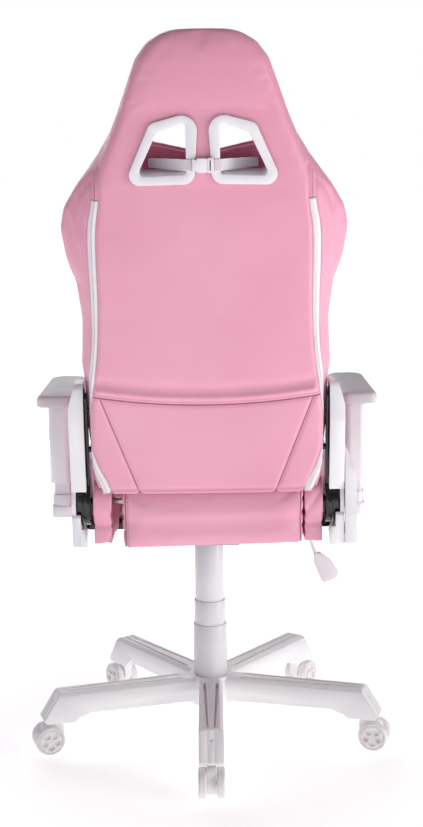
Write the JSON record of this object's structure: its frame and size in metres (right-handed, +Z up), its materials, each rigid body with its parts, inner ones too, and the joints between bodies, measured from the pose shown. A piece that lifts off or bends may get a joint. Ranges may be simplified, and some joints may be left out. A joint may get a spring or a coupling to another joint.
{
  "type": "gaming chair",
  "caption": "High-backed padded swivel chair with winged back, bucket seat, adjustable arms, gas lift and a five-legged base on casters.",
  "frame": {"origin": "on the floor, on the swivel axis of the base", "axes": "+Z up; the sitter faces -Y; the sitter's right hand is at -X"},
  "size_m": [0.6626, 0.6836, 1.2701],
  "materials": {
    "pink_leather": "satin",
    "pillow_cloth": "matte",
    "webbing": "matte",
    "pad_pu": "matte",
    "wheel_nylon": "satin",
    "white_plastic": "satin",
    "white_metal": "satin",
    "black_steel": "gloss",
    "bright_steel": "satin",
    "black_plastic": "matte"
  },
  "bodies": {
    "base": {"star_base": "white_plastic", "gas_tube": "black_steel", "cover_lower": "white_plastic"},
    "caster_1": {"caster_hood_1": "white_plastic"},
    "wheels_1": {"caster_wheels_1": "wheel_nylon"},
    "caster_2": {"caster_hood_2": "white_plastic"},
    "wheels_2": {"caster_wheels_2": "wheel_nylon"},
    "caster_3": {"caster_hood_3": "white_plastic"},
    "wheels_3": {"caster_wheels_3": "wheel_nylon"},
    "caster_4": {"caster_hood_4": "white_plastic"},
    "wheels_4": {"caster_wheels_4": "wheel_nylon"},
    "caster_5": {"caster_hood_5": "white_plastic"},
    "wheels_5": {"caster_wheels_5": "wheel_nylon"},
    "lift_rod": {"piston_rod": "bright_steel", "thrust_bearing": "bright_steel"},
    "cover_mid": {"cover_middle": "white_plastic"},
    "mechanism": {"gas_cylinder": "bright_steel", "cover_upper": "white_plastic", "mech_housing": "black_steel", "tilt_pin": "bright_steel"},
    "tension": {"tension_knob": "black_plastic"},
    "lever_pivot": {"lever_bush": "black_plastic"},
    "lever": {"lift_lever": "white_plastic"},
    "seat": {"seat_plate": "black_steel", "seat_frame": "black_steel", "seat_webbing": "webbing", "seat_cushion": "pink_leather", "seat_bolster_left": "pink_leather", "seat_bolster_right": "pink_leather", "seat_rear_roll": "pink_leather", "cover_side_lower_left": "white_plastic", "cover_side_lower_right": "white_plastic", "recliner_seat_left": "black_steel", "recliner_seat_right": "black_steel", "arm_bracket_left": "white_metal", "arm_bracket_right": "white_metal"},
    "recline_handle": {"recline_shaft": "bright_steel", "recline_lever": "black_steel"},
    "back": {"recliner_back_left": "black_steel", "recliner_back_right": "black_steel", "back_frame": "black_steel", "back_cushion": "pink_leather", "hole_trim_left": "white_plastic", "hole_trim_right": "white_plastic", "cover_side_upper_left": "white_plastic", "cover_side_upper_right": "white_plastic", "head_pillow": "pillow_cloth", "strap_left": "webbing", "strap_right": "webbing", "buckle_socket": "white_plastic", "buckle_tongue": "white_plastic"},
    "arm_left": {"arm_sleeve_left": "white_plastic"},
    "button_left": {"arm_button_left": "white_plastic"},
    "turntable_left": {"arm_plate_left": "white_plastic"},
    "pad_left": {"arm_pad_left": "pad_pu"},
    "arm_right": {"arm_sleeve_right": "white_plastic"},
    "button_right": {"arm_button_right": "white_plastic"},
    "turntable_right": {"arm_plate_right": "white_plastic"},
    "pad_right": {"arm_pad_right": "pad_pu"}
  },
  "joints": [
    {"name": "caster_1_swivel", "type": "hinge", "parent": "base", "child": "caster_1", "pos_m": [0, 0.3, 0.0755], "axis": [0, 0, 1], "continuous": true},
    {"name": "caster_1_spin", "type": "hinge", "parent": "caster_1", "child": "wheels_1", "pos_m": [0, 0.315, 0.027], "axis": [1, 0, 0], "continuous": true},
    {"name": "caster_2_swivel", "type": "hinge", "parent": "base", "child": "caster_2", "pos_m": [0.28532, 0.0927, 0.0755], "axis": [0, 0, 1], "continuous": true},
    {"name": "caster_2_spin", "type": "hinge", "parent": "caster_2", "child": "wheels_2", "pos_m": [0.29958, 0.09734, 0.027], "axis": [0.309, -0.9511, 0], "continuous": true},
    {"name": "caster_3_swivel", "type": "hinge", "parent": "base", "child": "caster_3", "pos_m": [0.17634, -0.24271, 0.0755], "axis": [0, 0, 1], "continuous": true},
    {"name": "caster_3_spin", "type": "hinge", "parent": "caster_3", "child": "wheels_3", "pos_m": [0.18515, -0.25484, 0.027], "axis": [-0.809, -0.5878, 0], "continuous": true},
    {"name": "caster_4_swivel", "type": "hinge", "parent": "base", "child": "caster_4", "pos_m": [-0.17634, -0.24271, 0.0755], "axis": [0, 0, 1], "continuous": true},
    {"name": "caster_4_spin", "type": "hinge", "parent": "caster_4", "child": "wheels_4", "pos_m": [-0.18515, -0.25484, 0.027], "axis": [-0.809, 0.5878, 0], "continuous": true},
    {"name": "caster_5_swivel", "type": "hinge", "parent": "base", "child": "caster_5", "pos_m": [-0.28532, 0.0927, 0.0755], "axis": [0, 0, 1], "continuous": true},
    {"name": "caster_5_spin", "type": "hinge", "parent": "caster_5", "child": "wheels_5", "pos_m": [-0.29958, 0.09734, 0.027], "axis": [0.309, 0.9511, 0], "continuous": true},
    {"name": "seat_swivel", "type": "hinge", "parent": "base", "child": "lift_rod", "pos_m": [0, 0, 0.0685], "axis": [0, 0, 1], "continuous": true},
    {"name": "gas_lift", "type": "slide", "parent": "lift_rod", "child": "mechanism", "axis": [0, 0, 1], "range_m": [-0.08, 0]},
    {"name": "cover_slide", "type": "slide", "parent": "base", "child": "cover_mid", "axis": [0, 0, 1], "range_m": [-0.04, 0]},
    {"name": "tension_turn", "type": "hinge", "parent": "mechanism", "child": "tension", "pos_m": [0, -0.085, 0.3605], "axis": [0, 0, 1], "continuous": true},
    {"name": "lever_lift", "type": "hinge", "parent": "mechanism", "child": "lever_pivot", "pos_m": [-0.063, 0.02, 0.3915], "axis": [0, 1, 0], "range_deg": [0, 5], "stiffness_Nm_per_rad": 4, "springref_deg": -6.88},
    {"name": "tilt_lock", "type": "slide", "parent": "lever_pivot", "child": "lever", "axis": [-1, 0, 0], "range_m": [0, 0.012]},
    {"name": "seat_tilt", "type": "hinge", "parent": "mechanism", "child": "seat", "pos_m": [0, -0.07, 0.4085], "axis": [-1, 0, 0], "range_deg": [0, 12], "stiffness_Nm_per_rad": 250, "springref_deg": -17.19},
    {"name": "back_recline", "type": "hinge", "parent": "seat", "child": "back", "pos_m": [0, 0.235, 0.5005], "axis": [-1, 0, 0], "range_deg": [-5, 50]},
    {"name": "recline_release", "type": "hinge", "parent": "seat", "child": "recline_handle", "pos_m": [0, 0.235, 0.5005], "axis": [-1, 0, 0], "range_deg": [0, 18], "stiffness_Nm_per_rad": 4, "springref_deg": -11.46},
    {"name": "arm_height_left", "type": "slide", "parent": "seat", "child": "arm_left", "axis": [0, 0, 1], "range_m": [-0.02, 0.05]},
    {"name": "arm_button_left_press", "type": "slide", "parent": "arm_left", "child": "button_left", "axis": [-1, 0, 0], "range_m": [0, 0.0025], "stiffness_N_per_m": 1500, "springref_m": -0.002},
    {"name": "pad_swivel_left", "type": "hinge", "parent": "arm_left", "child": "turntable_left", "pos_m": [0.273, -0.03, 0.6355], "axis": [0, 0, 1], "range_deg": [-20, 20]},
    {"name": "pad_slide_left", "type": "slide", "parent": "turntable_left", "child": "pad_left", "axis": [0, 1, 0], "range_m": [-0.025, 0.025]},
    {"name": "arm_height_right", "type": "slide", "parent": "seat", "child": "arm_right", "axis": [0, 0, 1], "range_m": [-0.02, 0.05]},
    {"name": "arm_button_right_press", "type": "slide", "parent": "arm_right", "child": "button_right", "axis": [1, 0, 0], "range_m": [0, 0.0025], "stiffness_N_per_m": 1500, "springref_m": -0.002},
    {"name": "pad_swivel_right", "type": "hinge", "parent": "arm_right", "child": "turntable_right", "pos_m": [-0.273, -0.03, 0.6355], "axis": [0, 0, 1], "range_deg": [-20, 20]},
    {"name": "pad_slide_right", "type": "slide", "parent": "turntable_right", "child": "pad_right", "axis": [0, 1, 0], "range_m": [-0.025, 0.025]}
  ],
  "couplings": [
    {"joint": "cover_slide", "follows": "gas_lift", "ratio": 0.5}
  ]
}
